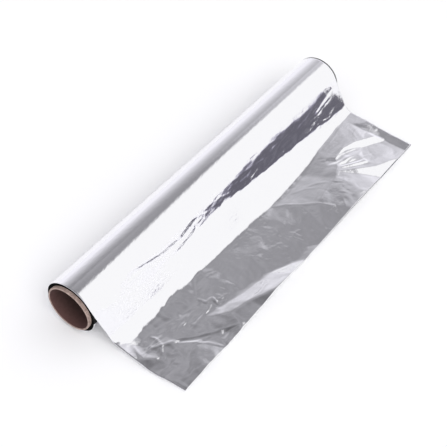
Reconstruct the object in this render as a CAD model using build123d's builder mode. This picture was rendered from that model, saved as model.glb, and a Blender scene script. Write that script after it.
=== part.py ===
from build123d import *
from math import cos, exp, hypot, pi, radians, sin
import os

# A roll of household aluminium foil, lying on a surface with its free end pulled out.
# The axis of the roll is X, with the centre of the bore at the origin. The free end goes
# towards -Y and lies on the surface, which is one roll radius below the axis. Lengths are in mm.

# Paper core
core_bore_diameter = 31.6
core_wall = 1.15
core_overhang = 2.2  # how far the core stands out of the wound foil at each end
core_rim_bevel = 0.3

# Wound foil
web_width = 300.0
wound_build = 2.35  # radial depth of all the turns together
# How far each pack of turns stands back from the end of the roll, from the outermost inwards
turn_drift = (0.0, 0.5, 0.2)

# Free end of the foil
web_thickness = 0.25
root_bite = 0.1  # depth of the free end's root below the outermost turn
root_inset = 0.1  # the root's edges lie this far inside the ends of the roll
near_front_reach = 87.0  # from the roll's axis to the torn edge, at the -X side
far_front_reach = 93.5  # the same at the +X side
near_edge_pull = 3.6  # the flat part has slid this far towards +X, at its -X edge
far_edge_pull = 2.0
slide_end_drop = 30.0  # path length over which the foil slides that far

# Shape of the slope across the width, from the -X edge to the +X edge. Each row has the share of
# the width, the slope's angle where the foil leaves the roll, its angle where the landing bend
# starts, and the radius of that bend.
slope_stations = (
    (0.00, 45.0, 43.0, 14.0),
    (0.20, 56.0, 49.0, 9.0),
    (0.65, 58.0, 48.0, 9.0),
    (1.00, 61.0, 52.0, 7.0),
)

# Folds pressed into the flat part: start and end in X and Y, spread and height of the ridge
folds = (
    ((78.0, -42.0), (146.0, -79.0), 8.0, 1.8),
    ((72.0, -54.0), (122.0, -99.0), 9.0, 1.6),
    ((4.0, -95.0), (-112.0, -63.0), 10.0, 1.0),
    ((-132.0, -50.0), (-70.0, -92.0), 8.0, 0.8),
)
fold_fade = 8.0  # the folds grow to full height over this distance from the start of the landing

# The torn edge's corner at the -X side curls up
corner_curl = 2.4
corner_curl_reach = 18.0
corner_pull_in = 3.0

# Grid on which the free end's surface is worked out
width_steps = 52
slope_rows = 4
landing_rows = 5
flat_rows = 14
flat_row_growth = 1.15  # rows of the flat part lie closer together next to the landing

core_radius = core_bore_diameter / 2 + core_wall
roll_radius = core_radius + wound_build
half_width = web_width / 2
floor_z = -roll_radius


def between_stations(share, column):
    """Value of one column of slope_stations at a share of the width, eased between stations."""
    for low, high in zip(slope_stations, slope_stations[1:]):
        if share <= high[0]:
            part = ease((share - low[0]) / (high[0] - low[0]))
            return low[column] + (high[column] - low[column]) * part
    return slope_stations[-1][column]


def ease(share):
    """Smooth step from 0 to 1 as the share goes from 0 to 1, level outside."""
    share = min(max(share, 0.0), 1.0)
    return share**2 * (3 - 2 * share)


def ridge_height(x, y, start, end, spread, height):
    """Height of one fold at x, y: a bell-shaped ridge that fades out towards both of its ends."""
    run_x, run_y = end[0] - start[0], end[1] - start[1]
    run = hypot(run_x, run_y)
    along = ((x - start[0]) * run_x + (y - start[1]) * run_y) / run**2
    across = ((x - start[0]) * run_y - (y - start[1]) * run_x) / run
    along = min(max(along, 0.0), 1.0)
    return height * sin(pi * along) ** 2 * exp(-((across / spread) ** 2))


def lift(x, y, front_y):
    """Height of the lying foil's underside above the surface."""
    raised = sum(ridge_height(x, y, *fold) for fold in folds)
    corner_distance = hypot(x + half_width, y - front_y)
    return raised + corner_curl * exp(-((corner_distance / corner_curl_reach) ** 2))


def side_path(leave, land, landing_radius, front_y):
    """Y and Z of the free end's top, from its root to the torn edge, with no folds in it."""
    root_y = -(roll_radius - root_bite) * sin(leave)
    root_z = (roll_radius - root_bite) * cos(leave)
    flat_z = floor_z + web_thickness
    slope_radius = (root_z - flat_z - landing_radius * (1 - cos(land))) / (cos(land) - cos(leave))
    landing_y = root_y - slope_radius * (sin(leave) - sin(land)) - landing_radius * sin(land)

    path = []
    for row in range(slope_rows):
        tilt = leave - (leave - land) * row / slope_rows
        slope_y = root_y - slope_radius * (sin(leave) - sin(tilt))
        path.append((slope_y, root_z - slope_radius * (cos(tilt) - cos(leave))))
    for row in range(landing_rows):
        tilt = land * (1 - row / landing_rows)
        path.append((landing_y + landing_radius * sin(tilt), flat_z + landing_radius * (1 - cos(tilt))))
    for row in range(flat_rows + 1):
        path.append((landing_y + (front_y - landing_y) * (row / flat_rows) ** flat_row_growth, flat_z))
    return path


def column_points(share):
    """Top of the free end at one share of the width, from its root to the torn edge."""
    leave, land, landing_radius = (between_stations(share, column) for column in (1, 2, 3))
    front_y = -(near_front_reach + (far_front_reach - near_front_reach) * share)
    path = side_path(radians(leave), radians(land), landing_radius, front_y)
    landing_start_y = path[slope_rows][0]
    roll_x = (2 * share - 1) * (half_width - root_inset)
    pull = near_edge_pull + (far_edge_pull - near_edge_pull) * share

    points = []
    travelled = 0.0
    for (y, z), (last_y, last_z) in zip(path, path[:1] + path):
        travelled += hypot(y - last_y, z - last_z)
        x = roll_x + pull * ease(travelled / slide_end_drop)
        corner_distance = hypot(x + half_width, y - front_y)
        x += corner_pull_in * exp(-((corner_distance / corner_curl_reach) ** 2))
        points.append(Vector(x, y, z + ease((landing_start_y - y) / fold_fade) * lift(x, y, front_y)))
    return points


def under_points(columns):
    """Underside of the free end: each point of the top, moved down by the foil's thickness."""
    moved = []
    for across, column in enumerate(columns):
        left, right = columns[max(across - 1, 0)], columns[min(across + 1, len(columns) - 1)]
        below = []
        for row, point in enumerate(column):
            back, front = column[max(row - 1, 0)], column[min(row + 1, len(column) - 1)]
            outward = (front - back).cross(right[row] - left[row]).normalized()
            below.append(point - outward * web_thickness)
        moved.append(below)
    return moved


def row_shares(columns):
    """Mean share of the path at which each row lies, so that all columns are cut alike."""
    totals = [0.0] * len(columns[0])
    for column in columns:
        lengths = [(b - a).length for a, b in zip(column, column[1:])]
        for row in range(1, len(column)):
            totals[row] += sum(lengths[:row]) / sum(lengths)
    return [total / len(columns) for total in totals]


def skin(columns, shares):
    """Smooth face through all the columns."""
    return Shell.make_loft([Wire([Edge.make_spline(column, parameters=shares)]) for column in columns]).face()


def free_end_solid():
    """The free end of the foil, closed by a strip along each of its four edges."""
    columns = [column_points(step / width_steps) for step in range(width_steps + 1)]
    shares = row_shares(columns)
    top = skin(columns, shares)
    under = skin(under_points(columns), shares)
    strips = []
    for edge in top.edges():
        match = under.edges().sort_by_distance(edge @ 0.5)[0]
        strips.append(Face.make_surface_from_curves(edge, match))
    return Solid(Shell([top, under, *strips]))


# Core: a paper tube with bevelled rims
with BuildPart() as cardboard_core:
    with BuildSketch(Plane.YZ.offset(-half_width - core_overhang)):
        Circle(core_radius)
        Circle(core_bore_diameter / 2, mode=Mode.SUBTRACT)
    extrude(amount=web_width + 2 * core_overhang)
    rims = cardboard_core.edges().filter_by(GeomType.CIRCLE)
    chamfer(rims, min(core_rim_bevel, core_wall / 3))

# Foil: the wound turns, with their ends in stepped packs, and the free end of the same web
with BuildPart() as foil_web:
    with BuildSketch(Plane.XZ):
        with BuildLine():
            pack = wound_build / len(turn_drift)
            end_steps = []
            for turn, drift in enumerate(turn_drift):
                outside = roll_radius - turn * pack
                end_steps += [(half_width - drift, outside), (half_width - drift, outside - pack)]
            Polyline(*end_steps, *[(-x, z) for x, z in reversed(end_steps)], close=True)
        make_face()
    revolve(axis=Axis.X)
    add(free_end_solid())

cardboard_core.part.label = "cardboard_core"
foil_web.part.label = "foil_web"
os.makedirs("parts", exist_ok=True)
export_step(cardboard_core.part, "parts/cardboard_core.step")
export_step(foil_web.part, "parts/foil_web.step")
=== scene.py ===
from math import cos, hypot, pi, radians, sin

import bpy
import numpy as np
from mathutils import Matrix, Vector
from mathutils.geometry import delaunay_2d_cdt


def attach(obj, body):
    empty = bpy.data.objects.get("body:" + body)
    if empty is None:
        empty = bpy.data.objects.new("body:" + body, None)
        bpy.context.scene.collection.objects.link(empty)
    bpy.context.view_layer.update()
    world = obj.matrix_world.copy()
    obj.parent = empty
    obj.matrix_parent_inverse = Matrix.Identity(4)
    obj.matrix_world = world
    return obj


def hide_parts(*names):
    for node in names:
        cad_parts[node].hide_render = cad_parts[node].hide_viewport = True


# A roll of household aluminium foil on its paper core, with the free end of the foil pulled out.
# The axis of the roll is X, with the centre of the bore at the origin. The free end goes towards -Y
# and lies on the floor. Lengths are in mm; a mesh is scaled to metres when it is made.

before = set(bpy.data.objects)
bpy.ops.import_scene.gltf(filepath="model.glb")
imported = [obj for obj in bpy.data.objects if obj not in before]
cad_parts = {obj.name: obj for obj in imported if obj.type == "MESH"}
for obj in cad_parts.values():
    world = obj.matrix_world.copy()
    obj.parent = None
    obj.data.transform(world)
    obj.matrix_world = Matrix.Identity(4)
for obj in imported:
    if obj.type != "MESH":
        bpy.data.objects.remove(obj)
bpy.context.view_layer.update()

MM = 0.001
WIDTH = 300.0
HALF = WIDTH / 2
BORE_R = 15.8
CORE_R = 16.95
CORE_HALF = 152.2  # from the middle of the roll to the core's end
ROLL_R = 19.3
FLOOR = -ROLL_R
FOIL = 0.1  # thickness of the shown foil

rng = np.random.default_rng(4)


# Small helpers
def ease(share):
    """Smooth step from 0 to 1 as the share goes from 0 to 1, level outside."""
    share = np.clip(share, 0.0, 1.0)
    return share**2 * (3 - 2 * share)


def grown(value, start, length):
    """0 up to the start and 1 from a length past it, eased between them."""
    return ease((value - start) / length)


def stations(table, column, x):
    """One column of a table at x, eased between its rows."""
    xs = [row[0] for row in table]
    values = [row[column] for row in table]
    x = np.clip(x, xs[0], xs[-1])
    k = np.clip(np.searchsorted(xs, x, side="right") - 1, 0, len(xs) - 2)
    low, high = np.take(xs, k), np.take(xs, k + 1)
    part = ease((x - low) / (high - low))
    return np.take(values, k) + (np.take(values, k + 1) - np.take(values, k)) * part


def along_across(x, y, start, end):
    """Share of the way from start to end beside x, y, and the distance from that line."""
    run_x, run_y = end[0] - start[0], end[1] - start[1]
    run = hypot(run_x, run_y)
    along = ((x - start[0]) * run_x + (y - start[1]) * run_y) / run**2
    across = ((x - start[0]) * run_y - (y - start[1]) * run_x) / run
    return along, across


def mesh_object(name, verts, faces, smooth=True):
    """A new object of a mesh, with its points in metres."""
    mesh = bpy.data.meshes.new(name)
    mesh.from_pydata([tuple(v) for v in verts], [], [tuple(f) for f in faces])
    mesh.polygons.foreach_set("use_smooth", [smooth] * len(mesh.polygons))
    mesh.update()
    obj = bpy.data.objects.new(name, mesh)
    bpy.context.scene.collection.objects.link(obj)
    return obj


# Shape of the free end

# Across the width: X, angle at which the foil leaves the roll, Y where the steep band below starts,
# its angle, Y where it ends, radius of the landing bend, and Y where that ends.
slope_table = (
    (-150.0, 52.0, -16.4, 53.0, -18.5, 6.0, -37.2),
    (-134.0, 53.5, -16.4, 55.0, -21.0, 7.0, -39.2),
    (-118.0, 55.0, -16.6, 57.5, -23.0, 8.0, -40.0),
    (-98.0, 55.0, -16.6, 59.0, -24.0, 5.0, -37.6),
    (-75.0, 55.0, -17.2, 59.0, -23.5, 5.0, -38.8),
    (-48.0, 55.0, -18.0, 60.4, -23.2, 6.0, -40.4),
    (-28.0, 55.0, -18.2, 61.0, -22.9, 7.0, -41.0),
    (-12.0, 55.0, -17.8, 61.0, -22.8, 9.0, -41.8),
    (15.0, 55.0, -17.3, 61.5, -24.5, 9.0, -44.0),
    (45.0, 55.0, -17.3, 61.5, -25.6, 9.0, -43.2),
    (75.0, 55.0, -17.8, 61.5, -26.8, 8.0, -42.4),
    (105.0, 56.0, -18.8, 60.5, -28.4, 5.0, -40.4),
    (129.0, 57.0, -18.2, 59.5, -29.6, 5.0, -38.6),
    (150.0, 58.0, -17.6, 59.0, -29.6, 5.0, -38.2),
)
BAND_BEND = 2.4  # path length over which the slope turns into the steep band, and out of it
NEAR_REACH, FAR_REACH = 87.0, 93.5  # from the roll's axis to the torn edge, at -X and at +X
NEAR_PULL, FAR_PULL = 3.6, 2.0  # the lying part has slid this far towards +X, at -X and at +X
SLIDE_DROP = 30.0  # path length over which the foil slides that far
CORNER_PULL, CORNER_REACH = 3.0, 18.0  # the corner at -X is drawn in, over this distance round it
TURN_START = radians(42)  # the outermost turn starts this far past the root, in the notch under it
TURN_BACK = radians(-78)  # where the rows round the back give way to those over the top
STEEPEST, GENTLEST = radians(80), radians(15)  # limits for the tilt of the slope below the steep band

# The sheet's grid: columns across the width, and rows round the back, over the top, down the steep
# band, down the rest of the slope, through the landing bend and along the lying part
COLUMNS = 326
TURN_ROWS, ROLL_ROWS, BAND_ROWS, SLOPE_ROWS, LAND_ROWS, FLAT_ROWS = 22, 22, 22, 16, 8, 60
LANDING_ROW = TURN_ROWS + ROLL_ROWS + BAND_ROWS + SLOPE_ROWS
RELIEF_ROW = TURN_ROWS + 3  # first row with crumpling, behind the top of the roll
LYING_ROW = LANDING_ROW - 12  # first row that the lying part's creases reach
# Where the foil's forms set in along its path, and the path length over which each grows
ROLL_CRUMPLING = (-45, 20)  # past the root
LYING_FOLDS = (-7.0, 12.0)  # past the start of the landing
LYING_CREASES = (-1.5, 5.0)  # past the start of the landing


def slope_steps(leave, before, steep, band, slope, reach):
    """Tilt and length of each step from the root to the landing: straight on, steep band, the rest."""
    total = before + band
    tilts, steps = [], []
    for row in range(BAND_ROWS):
        run = (row + 0.5) / BAND_ROWS * total
        into = grown(run - before, -BAND_BEND / 2, BAND_BEND)
        out = grown(run - total, -BAND_BEND, BAND_BEND)
        tilts.append(leave + (steep - leave) * into + (slope - steep) * out)
        steps.append(total / BAND_ROWS)
    return tilts + [slope] * SLOPE_ROWS, steps + [reach / SLOPE_ROWS] * SLOPE_ROWS


def rest_of_slope(leave, before, steep, band, radius, root_y, drop, land_y):
    """Tilt and length of the slope below the steep band that bring the landing's end to land_y."""
    low, high = np.full_like(leave, GENTLEST), np.full_like(leave, STEEPEST)
    for _ in range(24):  # halvings of what the tilt can be
        slope = (low + high) / 2
        tilts, steps = slope_steps(leave, before, steep, band, slope, 0 * leave)
        dropped = sum(np.sin(t) * s for t, s in zip(tilts, steps))
        rest = (drop - dropped - radius * (1 - np.cos(slope))) / np.sin(slope)
        gone = sum(np.cos(t) * s for t, s in zip(tilts, steps)) + rest * np.cos(slope)
        lands = root_y - gone - radius * np.sin(slope)
        low, high = np.where(lands < land_y, slope, low), np.where(lands < land_y, high, slope)
    return slope, rest


def column_paths(x):
    """Y, Z and path length from the root for each row of every column, with nothing pressed in."""
    leave, band_y, steep, band_end_y, radius, land_y = (stations(slope_table, k, x) for k in range(1, 7))
    leave, steep = np.radians(leave), np.radians(steep)
    front = -(NEAR_REACH + (FAR_REACH - NEAR_REACH) * (x + HALF) / WIDTH)
    flat_z = FLOOR + FOIL
    root_y, root_z = -ROLL_R * np.sin(leave), ROLL_R * np.cos(leave)
    before, band = (root_y - band_y) / np.cos(leave), (band_y - band_end_y) / np.cos(steep)
    slope, rest = rest_of_slope(leave, before, steep, band, radius, root_y, root_z - flat_z, land_y)

    rows_y, rows_z, rows_w = [], [], []

    def put(y, z, w):
        rows_y.append(y)
        rows_z.append(z)
        rows_w.append(w)

    # the outermost turn, from its start round the back and over the top to the root
    start = leave - 2 * pi + TURN_START
    for first, last, count in ((start, TURN_BACK, TURN_ROWS), (TURN_BACK, leave, ROLL_ROWS)):
        for row in range(count):
            angle = first + (last - first) * row / count
            put(-ROLL_R * np.sin(angle), ROLL_R * np.cos(angle), (angle - leave) * ROLL_R)

    y, z, w = root_y, root_z, 0 * x
    put(y, z, w)
    for tilt, step in zip(*slope_steps(leave, before, steep, band, slope, rest)):
        y, z, w = y - step * np.cos(tilt), z - step * np.sin(tilt), w + step
        put(y, z, w)
    for row in range(1, LAND_ROWS + 1):
        tilt = slope * (1 - row / LAND_ROWS)
        put(
            y - radius * (np.sin(slope) - np.sin(tilt)),
            flat_z + radius * (1 - np.cos(tilt)),
            w + radius * (slope - tilt),
        )
    y, w = rows_y[-1], rows_w[-1]
    for row in range(1, FLAT_ROWS + 1):
        share = row / FLAT_ROWS
        put(y + (front - y) * share, flat_z + 0 * y, w + (y - front) * share)
    return np.array(rows_y).T, np.array(rows_z).T, np.array(rows_w).T, front


def grid_normals(points):
    """Unit normals of a grid of points, outwards from the roll and up from the floor."""
    across = np.gradient(points, axis=0)
    along = np.gradient(points, axis=1)
    normal = np.cross(along, across)
    return normal / np.linalg.norm(normal, axis=2, keepdims=True)


# Creases and crumpling

# Folds of the lying foil: X, Y and height of the points along each crest or hollow
flat_folds = (
    # the gathered folds at the far end
    ((94, -40, 2.4), (112, -38, 2.8), (129, -36, 3.0), (146, -36, 2.8)),
    ((88, -48, 2.9), (104, -47, 3.0), (122, -47, 3.1), (138, -46, 2.7)),
    ((95, -53.5, 3.8), (108, -53, 4.0), (120, -56, 3.7), (130, -61, 3.2), (140, -66, 2.7)),
    ((92, -57, 3.2), (102, -57.5, 3.0), (112, -60.5, 2.4), (122, -64, 1.4), (136, -70.5, 0.6)),
    ((90, -58.5, 4.4), (101, -61.5, 4.1), (111, -66, 3.3)),
    ((92, -62.5, 3.5), (102, -67.5, 3.1), (111, -70.5, 2.9), (124, -73, 1.9), (138, -77, 0.7)),
    ((87, -61.5, 4.6), (98, -68.5, 4.4), (109, -74.5, 3.8)),
    ((92, -67.5, 3.6), (101, -73, 3.2), (110, -77.5, 3.1), (124, -81, 2.4), (138, -85, 1.0)),
    ((83, -62.5, 4.6), (95, -72.5, 4.2), (111, -84, 3.1), (125, -90, 2.4), (134, -95, 1.7)),
    ((84, -65.5, 4.2), (94, -79, 3.0), (106, -96, 0.7), (134, -99, 0.7)),
    ((80, -67, 4.1), (85, -78, 3.7), (92, -95, 2.5)),
    ((139, -42, 2.6), (141, -58, 1.8), (143, -74, 0.7), (143, -93, 1.0)),
    ((156, -36, 3.0), (156, -58, 2.9), (156, -76, 2.4), (156, -100, 2.2)),
    # across the middle
    ((22, -44, 0.3), (29, -50, 1.2), (35, -59, 2.5), (44, -69, 3.9), (50, -80, 3.8)),
    ((42, -45, 0.3), (52, -56, 2.2), (60, -67, 4.2), (66, -78, 4.2)),
    ((64, -44, 0.5), (70, -56, 2.7), (76, -66, 4.4), (79, -76, 4.2)),
    ((84, -42, 1.8), (84, -53, 3.2)),
    ((54, -83, 3.8), (66, -84, 4.0), (78, -86, 3.9)),
    ((14, -92, 1.6), (34, -93, 2.3), (58, -95, 3.5), (84, -97, 3.3)),
    ((10, -50, 0.7), (12, -60, 1.4), (18, -70, 1.8), (30, -81, 2.3)),
    ((-12, -48, 0.4), (-6, -60, 0.9), (-2, -72, 1.2), (4, -84, 1.2)),
    ((-34, -46, 0.5), (-28, -58, 0.9), (-26, -68, 1.0)),
    # towards the near end
    ((-92, -63, 0.8), (-74, -67, 0.5), (-57, -71, 0.4), (-33, -75.5, 0.4), (-11, -86, 0.8)),
    ((-77, -75, 2.7), (-62, -80, 3.8), (-45, -88, 5.5), (-24, -91, 5.1), (-4, -92, 2.4)),
    ((-78, -90, 1.7), (-60, -92, 2.2), (-46, -95, 3.6)),
    ((-76, -44, 0.4), (-64, -46, 0.8), (-54, -48, 0.5)),
    ((-104, -40, 1.6), (-94, -40.5, 1.5), (-84, -41, 1.0)),
    ((-108, -48, 0.8), (-96, -50, 0.6), (-86, -50, 0.6)),
    ((-84, -53, 0.6), (-80, -57.5, 1.1), (-75, -61, 1.1), (-69, -66, 0.8)),
    ((-127, -55, 2.2), (-118, -58.5, 1.6), (-106, -66, 1.3), (-94, -75, 1.0), (-82, -85, 2.2)),
    ((-127, -55, 2.2), (-121, -61.5, 1.7), (-112, -70, 1.4), (-106, -79, 1.1), (-101, -93, 1.3)),
    ((-117, -62.5, 0.9), (-108, -71, 0.7), (-98, -80, 0.6), (-91, -82, 0.7)),
    ((-99, -93, 2.3), (-88, -94, 2.9)),
    ((-127, -55, 2.2), (-132, -51.5, 1.5), (-138, -50.5, 1.6), (-145, -50, 3.1)),
    ((-160, -33, 6.6), (-151, -37, 6.3), (-148, -44, 4.7), (-146, -48, 3.7)),
    ((-141, -34, 3.6), (-139, -40, 2.2), (-136, -46, 1.2)),
    ((-131, -36, 1.6), (-129, -42, 0.9)),
    ((-127, -55, 2.2), (-120, -49, 1.0), (-118, -43, 0.8)),
    ((-127, -55, 2.2), (-134, -62, 1.5), (-141, -71, 1.3), (-143, -79, 1.2), (-144, -92, 1.2)),
    ((-131, -63, 1.1), (-128, -74, 1.6), (-122, -84, 2.8), (-117, -94, 2.7)),
    ((-155, -58, 1.4), (-154, -74, 1.7), (-155, -92, 2.8)),
    # round the outside, past the sheet's edges
    (
        *((-168, -28, 6.5), (-120, -28, 1.6), (-60, -28, 0.5), (0, -30, 0.3)),
        *((60, -30, 0.6), (110, -28, 2.4), (168, -28, 2.8)),
    ),
    (
        *((-168, -28, 6.5), (-168, -60, 2.0), (-168, -110, 2.6), (-104, -110, 1.0)),
        *((-40, -110, 2.4), (20, -110, 0.4), (80, -110, 2.0)),
    ),
    ((80, -110, 2.0), (110, -110, 0.0), (168, -110, 2.0), (168, -28, 2.8)),
)
# Sharp little ridges and grooves pressed into the lying foil: points, height, half the width
sharp_creases = (
    (((-127, -55), (-119, -61), (-112, -69), (-106, -77), (-101, -88)), 0.34, 1.3),
    (((-127, -55), (-116, -61), (-104, -70), (-92, -78), (-80, -86)), 0.33, 1.3),
    (((-112, -69), (-106, -73), (-101, -75)), 0.34, 1.1),
    (((-127, -55), (-125, -49), (-126, -46)), 0.50, 1.2),
    (((-127, -55), (-131, -58), (-137, -59)), 0.28, 1.2),
    (((-127, -55), (-132, -51.5), (-137, -51), (-142, -51)), 0.34, 1.2),
    (((-137, -51), (-128, -50), (-118, -51)), 0.24, 1.1),
    (((-139, -42), (-141, -47), (-142, -51)), 0.34, 1.1),
    (((-114, -55), (-104, -56), (-93, -55)), 0.32, 1.1),
    (((-104, -62), (-92, -62), (-81, -61)), 0.34, 1.1),
    (((-82, -52), (-81, -57), (-75, -58), (-77, -64), (-70, -66)), 0.40, 1.1),
    (((-86, -55), (-84, -60), (-79, -60)), 0.22, 1.0),
    (((-74, -60), (-72, -63), (-67, -63)), 0.22, 1.0),
    (((-69, -43), (-60, -45), (-54, -47)), 0.12, 1.1),
    (((-72, -67), (-57, -71), (-44, -73), (-33, -76)), 0.16, 1.2),
    (((-66, -78), (-52, -81), (-40, -80)), 0.14, 1.3),
    (((-30, -79), (-18, -84), (-8, -87)), 0.16, 1.2),
    (((-98, -84), (-89, -83), (-82, -87)), 0.28, 1.2),
    (((-142, -77), (-141, -83), (-141, -88)), 0.26, 1.3),
    (((-4, -68), (-8, -66), (-15, -64)), 0.12, 1.1),
    (((4, -73), (9, -70), (14, -72)), 0.16, 1.0),
    (((9, -75), (9, -70), (6, -66)), 0.14, 1.0),
    (((-3, -60), (1, -61), (4, -57)), 0.14, 1.0),
    (((22, -44), (29, -50), (35, -59), (44, -69), (50, -80)), 0.16, 1.3),
    (((41, -47), (52, -53), (60, -62)), 0.10, 1.4),
    (((50, -50), (62, -57), (70, -65)), 0.10, 1.4),
    (((32, -76), (46, -81), (62, -82)), -0.12, 1.2),
    (((100, -54), (109, -56), (116, -59), (122, -62)), -0.38, 1.2),
    (((92, -54), (99, -52), (107, -53)), -0.22, 1.1),
    (((90, -62), (99, -66.5), (109, -71)), -0.30, 1.2),
    (((96, -63), (104, -64), (111, -67)), -0.26, 1.1),
    (((104, -70), (114, -71), (121, -76)), -0.12, 1.2),
    (((118, -78), (121, -71), (127, -66)), -0.14, 1.1),
    (((84, -48), (88, -52), (95, -51)), -0.16, 1.0),
    (((103, -44), (112, -47), (121, -46)), 0.12, 1.2),
    (((133, -42), (131, -50), (126, -57)), 0.12, 1.1),
)
# Short fine creases besides, of two runs each. Ranges are from least to most.
RANDOM_CREASES = 150
random_start_x, random_start_y = (-148, 150), (-94, -40)
random_direction = (radians(-20), radians(38))  # mean and spread
random_run = (2, 6)  # length of a run
RANDOM_BEND = 0.5  # the most that the second run turns from the first, in radians
random_height, random_reach = (0.04, 0.12), (0.9, 1.6)  # height, half the width
bright_facet_x, BRIGHT_FACET_Y = (82, 140), -64  # none starts between these X past this Y
RIDGE_END = 0.35  # height of a ridge at both of its ends, as a share of its height in the middle
# How strongly the lying foil is crumpled, by X
crumple_table = (
    (-150.0, 0.36),
    (-95.0, 0.30),
    (-60.0, 0.16),
    (20.0, 0.12),
    (75.0, 0.12),
    (100.0, 0.09),
    (136.0, 0.09),
    (150.0, 0.16),
)
# Nets of that crumpling: spacing of their points in X and in Y, and share of its strength
flat_nets = ((11.0, 9.0, 1.0), (4.4, 3.8, 0.5), (2.6, 2.4, 0.2))
flat_net_x, flat_net_y = (-165, 166), (-108, -22)  # what they cover
JITTER = 0.45  # how far a net's point may lie from its place, as a share of the spacing

# Creases of the slope: X and path length from the root of the points along each, then how far the
# foil steps in across it, and over what width
slope_creases = (
    (((-118, 0.6), (-108, 1.2), (-96, 4.0), (-82, 6.8), (-70, 7.4), (-63, 8.6)), 0.25, 0.9),
    (((-66, 8.4), (-58, 7.0), (-50, 5.4), (-42, 5.8)), 0.36, 1.3),
    (((-78, 14.4), (-64, 13.6), (-54, 12.2), (-44, 9.6)), 0.26, 0.9),
    (((108, 12.6), (119, 11.0), (131, 8.6), (147, 5.0)), -0.46, 1.0),
)
STEP_REACH = 3.0  # the foil comes back to its place over about this distance beside the crease
STEP_FADE = 1.2  # how fast a crease grows along its first run and shrinks along its last
# How strongly the slope's foil is crumpled, by X
slope_crumple = ((-150.0, 0.35), (-60.0, 0.4), (-25.0, 1.0), (150.0, 1.0))
# Nets of that crumpling, middling, fine and wide. Each is made narrower than the foil and stretched
# along X to its width: half its own width, spacing in X and along the path, and the stretch.
slope_nets = ((34, 2.6, 2.3, 5), (55, 1.7, 1.6, 3), (165, 12.0, 7.0, 1))
slope_net_run = (-30, 62)  # path length from the root that they cover
# Their heights, what the fine one gains in the steep band, and the middling one's height on the roll
MIDDLING, FINE, WIDE, FINE_IN_BAND, ON_ROLL = 0.06, 0.055, 0.07, 0.035, 0.01
SMOOTHING = 0.85  # share of the crumpling that goes where the slope is smooth
# Parts of the slope: where each sets in, and the length over which it does
ON_SLOPE = (-6, 8)  # past the root
IN_BAND = (-1, 2)  # past the steep band's start
BELOW_BAND = (0.5, 3)  # past the steep band's end
NEAR_PART = (45, 25)  # from the middle of the roll towards -X
NEAR_SMOOTH = (8.5, 3)  # past the root, on that near part


def triangle_field(points, heights, lines, at_x, at_y):
    """Heights at given places of a net of flat triangles over the points, creased along the lines."""
    verts, _, faces, origins, _, _ = delaunay_2d_cdt([Vector(p) for p in points], lines, [], 0, 1e-4)
    net = np.array([(v.x, v.y) for v in verts])
    known = np.asarray(points, float)
    values = np.empty(len(net))
    for k, origin in enumerate(origins):
        if origin:
            values[k] = heights[origin[0]]
        else:  # where two lines cross
            distance = np.hypot(*(known - net[k]).T)
            near = np.argsort(distance)[:3]
            values[k] = np.average(np.take(heights, near), weights=1 / (distance[near] + 0.1))
    flat_x, flat_y = at_x.ravel(), at_y.ravel()
    order = np.argsort(flat_x)
    sorted_x = flat_x[order]
    result = np.zeros_like(flat_x)
    for a, b, c in faces:
        (ax, ay), (bx, by), (cx, cy) = net[a], net[b], net[c]
        area = (bx - ax) * (cy - ay) - (cx - ax) * (by - ay)
        if abs(area) < 1e-9:  # no area to speak of
            continue
        first, last = np.searchsorted(sorted_x, (min(ax, bx, cx), max(ax, bx, cx)))
        which = order[first:last]
        x, y = flat_x[which], flat_y[which]
        v = ((x - ax) * (cy - ay) - (cx - ax) * (y - ay)) / area
        w = ((bx - ax) * (y - ay) - (x - ax) * (by - ay)) / area
        inside = (v >= -1e-6) & (w >= -1e-6) & (v + w <= 1 + 1e-6)
        height = values[a] + v * (values[b] - values[a]) + w * (values[c] - values[a])
        result[which[inside]] = height[inside]
    return result.reshape(at_x.shape)


def scattered(x_range, y_range, step_x, step_y):
    """Points scattered evenly, each near its own place in a grid."""
    points = []
    for x in np.arange(*x_range, step_x):
        for y in np.arange(*y_range, step_y):
            aside, along = rng.uniform(-JITTER, JITTER), rng.uniform(-JITTER, JITTER)
            points.append((x + step_x * aside, y + step_y * along))
    return points


def blurred(field):
    """The field with each value evened out a little with its neighbours."""
    for axis in (0, 1):
        padded = np.pad(field, [(1, 1) if k == axis else (0, 0) for k in (0, 1)], mode="edge")
        low, high = (padded[:-2], padded[2:]) if axis == 0 else (padded[:, :-2], padded[:, 2:])
        field = (low + 2 * field + high) / 4
    return field


def flat_relief(x, y):
    """Heights of the lying foil's folds, and of the crumpling and sharp creases on them."""
    points, heights, lines = [], [], []
    for fold in flat_folds:
        first = len(points)
        points += [(px, py) for px, py, _ in fold]
        heights += [height for _, _, height in fold]
        lines += [(k, k + 1) for k in range(first, len(points) - 1)]
    base = triangle_field(points, heights, lines, x, y)
    crumpled = np.zeros_like(x)
    for step_x, step_y, share in flat_nets:
        places = scattered(flat_net_x, flat_net_y, step_x, step_y)
        rough = stations(crumple_table, 1, np.array([p[0] for p in places]))
        crumpled += triangle_field(places, share * rough * rng.uniform(-1, 1, len(places)), [], x, y)
    sharp = np.zeros_like(x)
    for line, rise, reach in sharp_creases + random_creases():
        sharp += ridge(x, y, line, rise, reach)
    return blurred(base), blurred(crumpled) + sharp


def ridge(x, y, line, rise, reach):
    """A roof-shaped ridge along a line, lower towards both of its ends."""
    distance = np.full_like(x, 1e3)
    part = np.zeros_like(x)
    for k, (start, end) in enumerate(zip(line, line[1:])):
        along, _ = along_across(x, y, start, end)
        along = np.clip(along, 0, 1)
        here = np.hypot(
            x - start[0] - along * (end[0] - start[0]), y - start[1] - along * (end[1] - start[1])
        )
        nearer = here < distance
        distance = np.where(nearer, here, distance)
        part = np.where(nearer, (k + along) / (len(line) - 1), part)
    along_line = RIDGE_END + (1 - RIDGE_END) * np.sin(pi * part)
    return rise * np.clip(1 - distance / reach, 0, 1) * along_line


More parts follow.
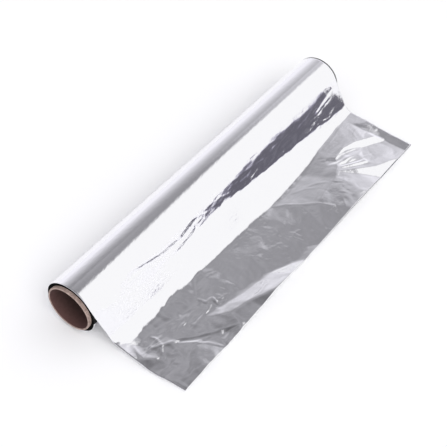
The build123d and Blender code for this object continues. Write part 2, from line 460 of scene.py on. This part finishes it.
def random_creases():
    """Short fine creases of two runs each, all over the lying foil but for one bright facet."""
    found = []
    for _ in range(RANDOM_CREASES):
        x, y = rng.uniform(*random_start_x), rng.uniform(*random_start_y)
        turn = rng.normal(*random_direction)
        size = rng.uniform(*random_run)
        bend = rng.uniform(-RANDOM_BEND, RANDOM_BEND)
        half = (x + size * cos(turn), y + size * sin(turn))
        last = (half[0] + size * cos(turn + bend), half[1] + size * sin(turn + bend))
        rise = rng.uniform(*random_height) * rng.choice((-1, 1))
        on_bright_facet = bright_facet_x[0] < x < bright_facet_x[1] and y < BRIGHT_FACET_Y
        if not on_bright_facet:
            found.append((((x, y), half, last), rise, rng.uniform(*random_reach)))
    return tuple(found)


def slope_net(x, w, half_x, step_x, step_w, stretch):
    """A random net of flat triangles with heights up to 1, stretched along X."""
    points = scattered((-half_x, half_x + 1), slope_net_run, step_x, step_w)
    return triangle_field(points, rng.uniform(-1, 1, len(points)), [], x / stretch, w)


def slope_crease(x, w, line, depth, width):
    """A step across a line, spread over the width, that fades out over the line's end runs."""
    out = 0
    for start, end in zip(line, line[1:]):
        along, across = along_across(x, w, start, end)
        part = (along >= 0) & (along < 1)
        fade = 1.0
        if start is line[0]:
            fade = ease(along * STEP_FADE)
        elif end is line[-1]:
            fade = ease((1 - along) * STEP_FADE)
        reach = np.exp(-((np.maximum(np.abs(across) - width, 0) / STEP_REACH) ** 2))
        step = np.clip(across / width, -1, 1)
        out = out + part * fade * depth * 0.5 * step * reach
    return out


def slope_relief(x, w):
    """How far the foil stands out from its smooth path on the roll and the slope."""
    middling, fine, wide = [slope_net(x, w, *net) for net in slope_nets]
    leave, band_y, steep, band_end_y = (stations(slope_table, k, x) for k in range(1, 5))
    band_from = (-ROLL_R * np.sin(np.radians(leave)) - band_y) / np.cos(np.radians(leave))
    band_to = band_from + (band_y - band_end_y) / np.cos(np.radians(steep))
    # how far each place is on the slope, below the steep band, on the near part and in the band
    on_slope = grown(w, *ON_SLOPE)
    below = grown(w - band_to, *BELOW_BAND)
    near = grown(-x, *NEAR_PART)
    in_band = grown(w - band_from, *IN_BAND) * (1 - below) * (1 - near)
    # the foil is smoother below the band, and low on the near part of the slope
    smooth = np.maximum(below, near * grown(w, *NEAR_SMOOTH))
    crumple = stations(slope_crumple, 1, x) * (1 - SMOOTHING * smooth)
    out = on_slope * crumple * (MIDDLING * middling + (FINE + FINE_IN_BAND * in_band) * fine + WIDE * wide)
    out = out + (1 - on_slope) * ON_ROLL * middling
    for line, depth, width in slope_creases:
        out = out + slope_crease(x, w, line, depth, width)
    return out


def free_end_points():
    """Grid of points of the foil's top, from the outermost turn's start to the torn edge."""
    share = np.linspace(0, 1, COLUMNS + 1)
    roll_x = (2 * share - 1) * HALF
    y, z, w, front = column_paths(roll_x)
    pull = NEAR_PULL + (FAR_PULL - NEAR_PULL) * share
    x = roll_x[:, None] + pull[:, None] * grown(w, 0, SLIDE_DROP)
    corner = np.hypot(x + HALF, y - front[:, None])
    x = x + CORNER_PULL * np.exp(-((corner / CORNER_REACH) ** 2)) * (w > 0)
    path = np.stack([x, y, z], axis=2)

    past_landing = w - w[:, LANDING_ROW][:, None]
    folded = grown(past_landing, *LYING_FOLDS)
    creased = grown(past_landing, *LYING_CREASES)
    relief = np.zeros_like(w)
    relief[:, RELIEF_ROW:] = slope_relief(x[:, RELIEF_ROW:], w[:, RELIEF_ROW:])
    path += grid_normals(path) * (relief * (1 - folded) * grown(w, *ROLL_CRUMPLING))[:, :, None]
    lying = slice(LYING_ROW, None)
    folds, creases = flat_relief(x[:, lying], y[:, lying])
    path[:, lying, 2] += folded[:, lying] * folds + creased[:, lying] * creases
    path[:, :, 2] = np.where(past_landing > 0, np.maximum(path[:, :, 2], FLOOR + FOIL), path[:, :, 2])
    return path


def closed_sheet(name, top, thickness):
    """A thin closed mesh: the top, the underside and a strip round the edge."""
    under = top - grid_normals(top) * thickness
    columns, rows = top.shape[:2]
    count = columns * rows
    index = np.arange(count).reshape(columns, rows)
    a, b, c, d = index[:-1, :-1], index[1:, :-1], index[1:, 1:], index[:-1, 1:]
    quads = np.stack([a, d, c, b], axis=2).reshape(-1, 4)
    below = np.stack([a, b, c, d], axis=2).reshape(-1, 4) + count
    ring = np.concatenate([index[:, 0], index[-1, 1:], index[-2::-1, -1], index[0, -2:0:-1]])
    after = np.roll(ring, -1)
    strip = np.stack([ring, after, after + count, ring + count], axis=1)
    verts = np.concatenate([top.reshape(-1, 3), under.reshape(-1, 3)]) * MM
    return mesh_object(name, verts, np.concatenate([quads, below, strip]))


sheet_top = free_end_points()
foil_sheet = closed_sheet("foil_sheet", sheet_top, FOIL)

# Wound turns under the outermost one
WOUND_TURNS = 24
UNDER_SHEET = 0.16  # radial room for the outermost turn
OVER_CORE = 0.02  # radial gap to the core
LEAST_SETBACK, SETBACK_SPREAD = 0.12, 0.3  # how far the turns' edges stand back from the roll's ends
# their edges carry the painted shade, so they show as a thin dark line past the outermost turn's end
SLID_TURNS, SLID_OUT = 7, 1.3  # at the +X end the turns next to the outermost one have slid out
ROUND_STEPS = 120  # points in each ring of the turns


def windings():
    """The wound foil under the outermost turn, with the turns' edges stepped at both ends."""
    radii = np.linspace(ROLL_R - UNDER_SHEET, CORE_R + OVER_CORE, WOUND_TURNS + 1)
    setback = LEAST_SETBACK + SETBACK_SPREAD * rng.random(WOUND_TURNS)
    setback[0] = LEAST_SETBACK
    near_end, far_end = [], []
    for k in range(WOUND_TURNS):
        near_x = setback[k] - HALF
        far_x = HALF + SLID_OUT if k < SLID_TURNS else HALF - setback[k]
        near_end += [(near_x, radii[k]), (near_x, radii[k + 1])]
        far_end += [(far_x, radii[k]), (far_x, radii[k + 1])]
    profile = far_end + near_end[::-1]
    verts, faces = [], []
    for x, r in profile:
        for k in range(ROUND_STEPS):
            angle = 2 * pi * k / ROUND_STEPS
            verts.append((x * MM, r * cos(angle) * MM, r * sin(angle) * MM))
    for ring in range(len(profile)):
        here, following = ring * ROUND_STEPS, (ring + 1) % len(profile) * ROUND_STEPS
        for k in range(ROUND_STEPS):
            k2 = (k + 1) % ROUND_STEPS
            faces.append((here + k, following + k, following + k2, here + k2))
    return mesh_object("foil_windings", verts, faces, smooth=False)


foil_windings = windings()


# Materials

# Where the core's colours change, as depths from its end and from the bore's wall. The first two give where
# the painted shade down the bore starts and where it is at its deepest.
BORE_SHADE_FROM, BORE_SHADE_DEEPEST = 0.3, 20.2
RIM_DEPTH, WALL_DEPTH = 0.35, 0.15


def node_material(name):
    """A new material, its node tree and its shader."""
    mat = bpy.data.materials.new(name)
    mat.use_nodes = True
    tree = mat.node_tree
    shader = tree.nodes["Principled BSDF"]
    return mat, tree, shader


def add(tree, kind, inputs=None, **settings):
    """A new node with its settings, its inputs set to values or linked to sockets."""
    node = tree.nodes.new(kind)
    for key, value in settings.items():
        setattr(node, key, value)
    for key, value in (inputs or {}).items():
        if isinstance(value, bpy.types.NodeSocket):
            tree.links.new(value, node.inputs[key])
        else:
            node.inputs[key].default_value = value
    return node


def calc(tree, operation, *values, clamp=False):
    """Result of one operation on values and sockets."""
    inputs = dict(enumerate(values))
    return add(tree, "ShaderNodeMath", inputs, operation=operation, use_clamp=clamp).outputs[0]


def mixed_colour(tree, factor, first, second):
    """The first colour where the factor is 0, the second where it is 1, mixed between them."""
    inputs = {"Factor": factor, "A": first, "B": second}
    return add(tree, "ShaderNodeMix", inputs, data_type="RGBA").outputs[2]


def noise(tree, scale, detail=2.0, rough=0.5):
    """Noise with so many grains to the metre along X, Y and Z."""
    coord = add(tree, "ShaderNodeTexCoord")
    place = add(tree, "ShaderNodeMapping", {"Vector": coord.outputs["Object"], "Scale": scale})
    inputs = {"Vector": place.outputs[0], "Scale": 1.0, "Detail": detail, "Roughness": rough}
    return add(tree, "ShaderNodeTexNoise", inputs).outputs["Fac"]


def foil_material():
    """Rolled aluminium: a sharp mirror with faint rolling streaks and fine crinkles."""
    mat, tree, shader = node_material("foil")
    shader.inputs["Base Color"].default_value = (0.91, 0.908, 0.93, 1)
    shader.inputs["Metallic"].default_value = 1.0
    streaks = noise(tree, (60, 900, 900), 3.0)
    rough = add(tree, "ShaderNodeMapRange", {"Value": streaks, "To Min": 0.03, "To Max": 0.12})
    tree.links.new(rough.outputs[0], shader.inputs["Roughness"])
    crinkle = noise(tree, (260, 420, 420), 3.0, 0.6)
    first = add(tree, "ShaderNodeBump", {"Height": crinkle, "Strength": 1.0, "Distance": 0.00007})
    fine = noise(tree, (900, 1500, 1500), 2.0)
    second = add(
        tree,
        "ShaderNodeBump",
        {"Height": fine, "Strength": 1.0, "Distance": 0.00001, "Normal": first.outputs[0]},
    )
    tree.links.new(second.outputs[0], shader.inputs["Normal"])
    return mat


def radius_and_end(tree):
    """Distance from the axis of the roll and distance from its middle plane, in metres."""
    coord = add(tree, "ShaderNodeTexCoord")
    axes = add(tree, "ShaderNodeSeparateXYZ", {0: coord.outputs["Object"]})
    flat = add(tree, "ShaderNodeCombineXYZ", {"Y": axes.outputs[1], "Z": axes.outputs[2]})
    radius = add(tree, "ShaderNodeVectorMath", {0: flat.outputs[0]}, operation="LENGTH")
    return radius.outputs["Value"], calc(tree, "ABSOLUTE", axes.outputs[0])


def edge_shade_material():
    """The turns' edges: painted shade, nearly black for the dark gaps between the turns, with faint paler
    rings.
    """
    mat, tree, shader = node_material("foil_edges_painted_shade")
    radius, _ = radius_and_end(tree)
    rings = calc(tree, "SINE", calc(tree, "MULTIPLY", radius, 26000.0))  # one every 0.24 mm
    # painted shade: the aluminium edges are made nearly black, as the gaps between the turns look in shade
    shade = add(
        tree,
        "ShaderNodeMapRange",
        {"Value": rings, "From Min": 0.5, "From Max": 1.0, "To Min": 0.003, "To Max": 0.02},
    )
    tree.links.new(shade.outputs[0], shader.inputs["Base Color"])
    shader.inputs["Roughness"].default_value = 0.8
    shader.inputs["Specular IOR Level"].default_value = 0.05
    return mat


def core_material():
    """Brown board with its plies and fibres showing at the rims, and painted shade down the bore that
    deepens inwards.
    """
    mat, tree, shader = node_material("core_board_and_bore_shade")
    radius, end = radius_and_end(tree)
    fibres = noise(tree, (500, 500, 500), 4.0, 0.65)
    plies = calc(tree, "SINE", calc(tree, "MULTIPLY", radius, 21000.0))  # one every 0.3 mm
    shade = calc(tree, "MULTIPLY_ADD", fibres, 1.6, calc(tree, "MULTIPLY_ADD", plies, 0.14, -0.25))
    rim = mixed_colour(tree, shade, (0.13, 0.088, 0.075, 1), (0.54, 0.415, 0.365, 1))

    # painted shade: the bore darkens inwards from its mouth, broken up by the fibres
    mouth, deep = (CORE_HALF - BORE_SHADE_FROM) * MM, (CORE_HALF - BORE_SHADE_DEEPEST) * MM
    depth = add(tree, "ShaderNodeMapRange", {"Value": end, "From Min": mouth, "From Max": deep})
    bore_shade = calc(tree, "MULTIPLY_ADD", fibres, -0.5, depth.outputs[0])
    bore_shade = calc(tree, "ADD", bore_shade, 0.25, clamp=True)
    inside = mixed_colour(tree, bore_shade, (0.135, 0.07, 0.064, 1), (0.02, 0.013, 0.009, 1))

    # the painted shade covers the bore's wall behind the rim
    on_wall = calc(tree, "LESS_THAN", radius, (BORE_R + WALL_DEPTH) * MM)
    behind_rim = calc(tree, "LESS_THAN", end, (CORE_HALF - RIM_DEPTH) * MM)
    bore_shade_mask = calc(tree, "MULTIPLY", on_wall, behind_rim)
    tree.links.new(mixed_colour(tree, bore_shade_mask, rim, inside), shader.inputs["Base Color"])
    shader.inputs["Roughness"].default_value = 0.85
    bump = add(tree, "ShaderNodeBump", {"Height": fibres, "Strength": 0.6, "Distance": 0.0001})
    tree.links.new(bump.outputs[0], shader.inputs["Normal"])
    return mat


foil_sheet.data.materials.append(foil_material())
foil_windings.data.materials.append(edge_shade_material())
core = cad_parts["cardboard_core"]
core.data.materials.clear()
core.data.materials.append(core_material())

for piece in (foil_sheet, foil_windings):
    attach(piece, "root")
    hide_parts("foil_web")

# Floor, in metres
FLOOR_HALF = 3.0
FLOOR_Z = FLOOR * MM - 0.00002  # a little lower than the foil, so that they don't touch
floor_corners = [(x * FLOOR_HALF, y * FLOOR_HALF, FLOOR_Z) for x, y in ((-1, -1), (1, -1), (1, 1), (-1, 1))]
floor_mesh = mesh_object("floor", floor_corners, [(0, 1, 2, 3)], smooth=False)
floor_mat, _, floor_shader = node_material("floor")
floor_shader.inputs["Base Color"].default_value = (0.95, 0.95, 0.955, 1)
floor_shader.inputs["Roughness"].default_value = 0.9
floor_shader.inputs["Specular IOR Level"].default_value = 0.1
floor_mesh.data.materials.append(floor_mat)

# A dark card stands in front of the roll, seen only in the foil, whose steep band mirrors it. Its top
# follows these points in X and Z, and it leans away from the roll and fades out towards that top.
card_top = ((-95, -17), (-75, -13.6), (5, -13.2), (30, -5), (60, 1.5), (90, 11), (130, 15), (228, 16))
card_levels = (0.0, 0.35, 0.7, 1.0)
CARD_Y = -95  # of its foot
CARD_LEAN = 15  # from its foot to its top
CARD_GAP = 0.1  # between its foot and the floor
# Shades of the card: at its foot, at its top, and between them the red by level
card_foot_shade, card_top_shade = (0.16, 0.155, 0.19, 1), (0.95, 0.95, 1.0, 1)
card_shades = ((0.25, 0.105), (0.5, 0.12), (0.66, 0.17), (0.85, 0.40))
GREEN_SHARE, BLUE_SHARE = 0.96, 1.22  # green and blue there, as shares of the red


def card_material():
    """A dark glow, by the level of each point of the card."""
    mat, tree, shader = node_material("dark_card")
    shader.inputs["Base Color"].default_value = (0, 0, 0, 1)
    level = add(tree, "ShaderNodeAttribute", attribute_name="level")
    ramp_node = add(tree, "ShaderNodeValToRGB", {"Fac": level.outputs["Fac"]})
    ramp = ramp_node.color_ramp
    ramp.elements[0].position, ramp.elements[0].color = 0.0, card_foot_shade
    ramp.elements[1].position, ramp.elements[1].color = 1.0, card_top_shade
    for place, shade in card_shades:
        ramp.elements.new(place).color = (shade, shade * GREEN_SHARE, shade * BLUE_SHARE, 1)
    tree.links.new(ramp_node.outputs["Color"], shader.inputs["Emission Color"])
    shader.inputs["Emission Strength"].default_value = 1.0
    return mat


def dark_card():
    """Rows of points from the card's foot to its top, which keep their level for the material."""
    verts = [
        (x * MM, (CARD_Y - CARD_LEAN * level) * MM, (FLOOR + CARD_GAP + (z - FLOOR) * level) * MM)
        for level in card_levels
        for x, z in card_top
    ]
    count = len(card_top)
    faces = [
        (k + row, k + row + 1, k + row + 1 + count, k + row + count)
        for row in range(0, len(verts) - count, count)
        for k in range(count - 1)
    ]
    card = mesh_object("dark_card", verts, faces, smooth=False)
    levels = card.data.attributes.new("level", "FLOAT", "POINT")
    levels.data.foreach_set("value", [level for level in card_levels for _ in card_top])
    card.data.materials.append(card_material())
    card.visible_camera = False
    card.visible_diffuse = False
    card.visible_shadow = False
    card.visible_transmission = False
    return card


card = dark_card()

# Studio, light and camera

# The studio's grey part, as shown: its shade at the horizon and the fall of that with each degree
# upwards, the height in degrees from which it falls less and how much less, and its least shade
GREY_AT_HORIZON, GREY_FALL = 1.154, 0.01118
LESS_FALL_FROM, LESS_FALL = 50.0, 0.003
LEAST_GREY = 0.42
GAMMA = 2.2
# The grey is lighter to the near and the far side: factor and offset by X over Z of the direction, the
# most that it gains, and factor and offset by Y over Z for the fade of that towards the back
NEAR_LIFT, FAR_LIFT, MOST_LIFT, BACK_FADE = (-0.5, 0.385), (0.7, -0.56), 0.11, (-8.0, 4.4)
LEAST_HEIGHT = 0.02  # least Z that X and Y of the direction are divided by
# The studio's white part: its level and tint, and where it ends, as Y over Z of the direction, with
# the slant of that line towards the near side and the width over which it goes over into the grey
WHITE, WHITE_TINT = 1.03, (0.985, 0.975, 1.03, 1)
WHITE_END, WHITE_SLANT, WHITE_EDGE = 0.10, 0.9, 0.16
SLANT_FROM = 0.78  # X over Z of the direction below which the line slants


def studio_world():
    """A pale studio: white in front, and behind it a grey that darkens upwards."""
    world = bpy.data.worlds.new("studio")
    bpy.context.scene.world = world
    world.use_nodes = True
    tree = world.node_tree
    tree.nodes.clear()
    coord = add(tree, "ShaderNodeTexCoord")
    unit = add(tree, "ShaderNodeVectorMath", {0: coord.outputs["Generated"]}, operation="NORMALIZE")
    x, y, z = add(tree, "ShaderNodeSeparateXYZ", {0: unit.outputs[0]}).outputs

    def value(operation, *values, clamp=False):
        return calc(tree, operation, *values, clamp=clamp)

    height = value("MAXIMUM", z, LEAST_HEIGHT)
    x_slant, y_slant = value("DIVIDE", x, height), value("DIVIDE", y, height)
    elevation = value("MULTIPLY", value("ARCSINE", z), 180 / pi)

    # the grey part falls with the elevation, less so high up
    falling = value("MULTIPLY_ADD", elevation, -GREY_FALL, GREY_AT_HORIZON)
    above = value("MAXIMUM", value("SUBTRACT", elevation, LESS_FALL_FROM), 0.0)
    shown = value("ADD", falling, value("MULTIPLY", above, LESS_FALL), clamp=True)
    # it is lighter towards both sides, but not towards the back
    near_side = value("MULTIPLY_ADD", x_slant, *NEAR_LIFT, clamp=True)
    far_side = value("MULTIPLY_ADD", x_slant, *FAR_LIFT, clamp=True)
    lift = value("MINIMUM", value("ADD", near_side, far_side), MOST_LIFT)
    fade = value("MULTIPLY_ADD", y_slant, *BACK_FADE, clamp=True)
    shown = value("MULTIPLY_ADD", lift, fade, shown)
    grey = value("POWER", value("MAXIMUM", shown, LEAST_GREY), GAMMA)

    # the white part lies to the front of a bent line over the roll
    before = value("MINIMUM", value("SUBTRACT", x_slant, SLANT_FROM), 0.0)
    past = value("SUBTRACT", value("SUBTRACT", y_slant, WHITE_END), value("MULTIPLY", before, WHITE_SLANT))
    white = value("MULTIPLY_ADD", past, -1 / WHITE_EDGE, 0.5, clamp=True)
    tint = mixed_colour(tree, white, WHITE_TINT, (1, 1, 1, 1))
    level = add(tree, "ShaderNodeMix", {"Factor": white, 2: grey, 3: WHITE}, data_type="FLOAT")
    colour = add(tree, "ShaderNodeVectorMath", {0: tint, 1: level.outputs[0]}, operation="MULTIPLY")
    background = add(tree, "ShaderNodeBackground", {"Color": colour.outputs[0], "Strength": 1.0})
    add(tree, "ShaderNodeOutputWorld", {"Surface": background.outputs[0]})


def soft_sun():
    """A wide soft sun from above, kept out of the foil's reflections."""
    data = bpy.data.lights.new("soft_sun", "SUN")
    data.energy = 1.7
    data.angle = radians(60)
    sun = bpy.data.objects.new("soft_sun", data)
    sun.rotation_euler = (radians(25), radians(-20), 0)
    sun.visible_glossy = False
    bpy.context.scene.collection.objects.link(sun)


def photo_camera():
    """The camera at the photograph's place and angle, as fitted to the outlines in it."""
    data = bpy.data.cameras.new("camera")
    data.sensor_width = 36.0
    data.lens = 69.6
    data.clip_start = 0.01
    camera = bpy.data.objects.new("camera", data)
    turn, rise, roll = radians(-61.08), radians(48.31), radians(8.56)
    place = Vector((-380.08, -226.46, 448.6)) * MM
    back = Vector((sin(turn) * cos(rise), -cos(turn) * cos(rise), sin(rise)))
    right = Vector((0, 0, 1)).cross(back).normalized()
    up = back.cross(right)
    right, up = right * cos(roll) + up * sin(roll), up * cos(roll) - right * sin(roll)
    camera.matrix_world = Matrix.Translation(place) @ Matrix((right, up, back)).transposed().to_4x4()
    bpy.context.scene.collection.objects.link(camera)
    bpy.context.scene.camera = camera


studio_world()
soft_sun()
photo_camera()
bpy.context.scene.view_settings.view_transform = "Standard"
